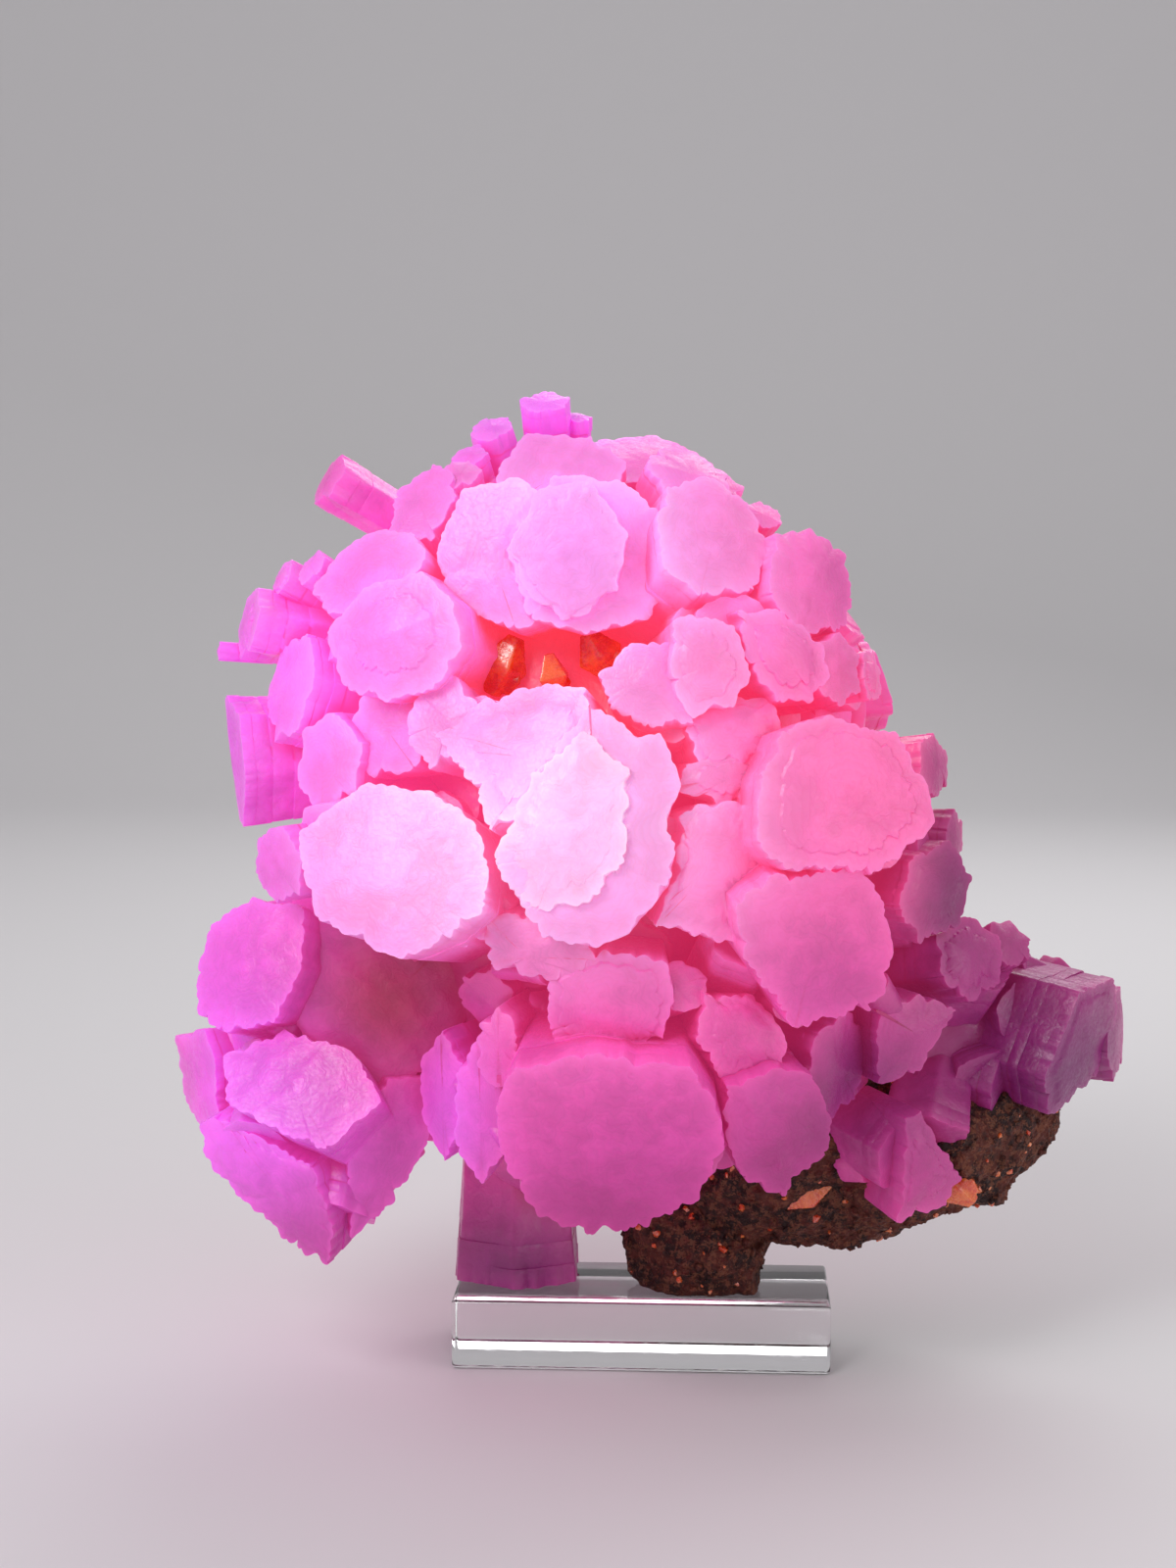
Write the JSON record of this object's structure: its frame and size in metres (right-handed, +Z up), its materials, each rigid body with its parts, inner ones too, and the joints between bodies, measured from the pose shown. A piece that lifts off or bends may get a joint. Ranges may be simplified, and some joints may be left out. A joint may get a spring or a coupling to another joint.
{
  "type": "aragonite with sulfur on acrylic stand",
  "caption": "Radiating cluster of stubby six-sided aragonite prisms with sulfur crystals and sulfur-bearing matrix, resting on a small clear acrylic block.",
  "frame": {"origin": "centre of the acrylic block's underside", "axes": "+X to the right of the front, +Y away from the viewer, +Z up"},
  "size_m": [0.1946, 0.1306, 0.1957],
  "materials": {
    "aragonite": "milky translucent pink, satin crystal faces",
    "matrix": "dull granular dark reddish-brown rock",
    "sulfur": "resinous amber orange crystal",
    "acrylic": "clear polished acrylic"
  },
  "bodies": {
    "root": {"aragonite_cluster": "aragonite", "sulfur_matrix": "matrix", "sulfur_cavity_left": "sulfur", "sulfur_cavity_middle": "sulfur", "sulfur_cavity_right": "sulfur", "sulfur_matrix_front": "sulfur", "sulfur_matrix_low": "sulfur", "sulfur_matrix_side": "sulfur", "sulfur_matrix_back": "sulfur", "acrylic_stand": "acrylic"}
  },
  "joints": []
}
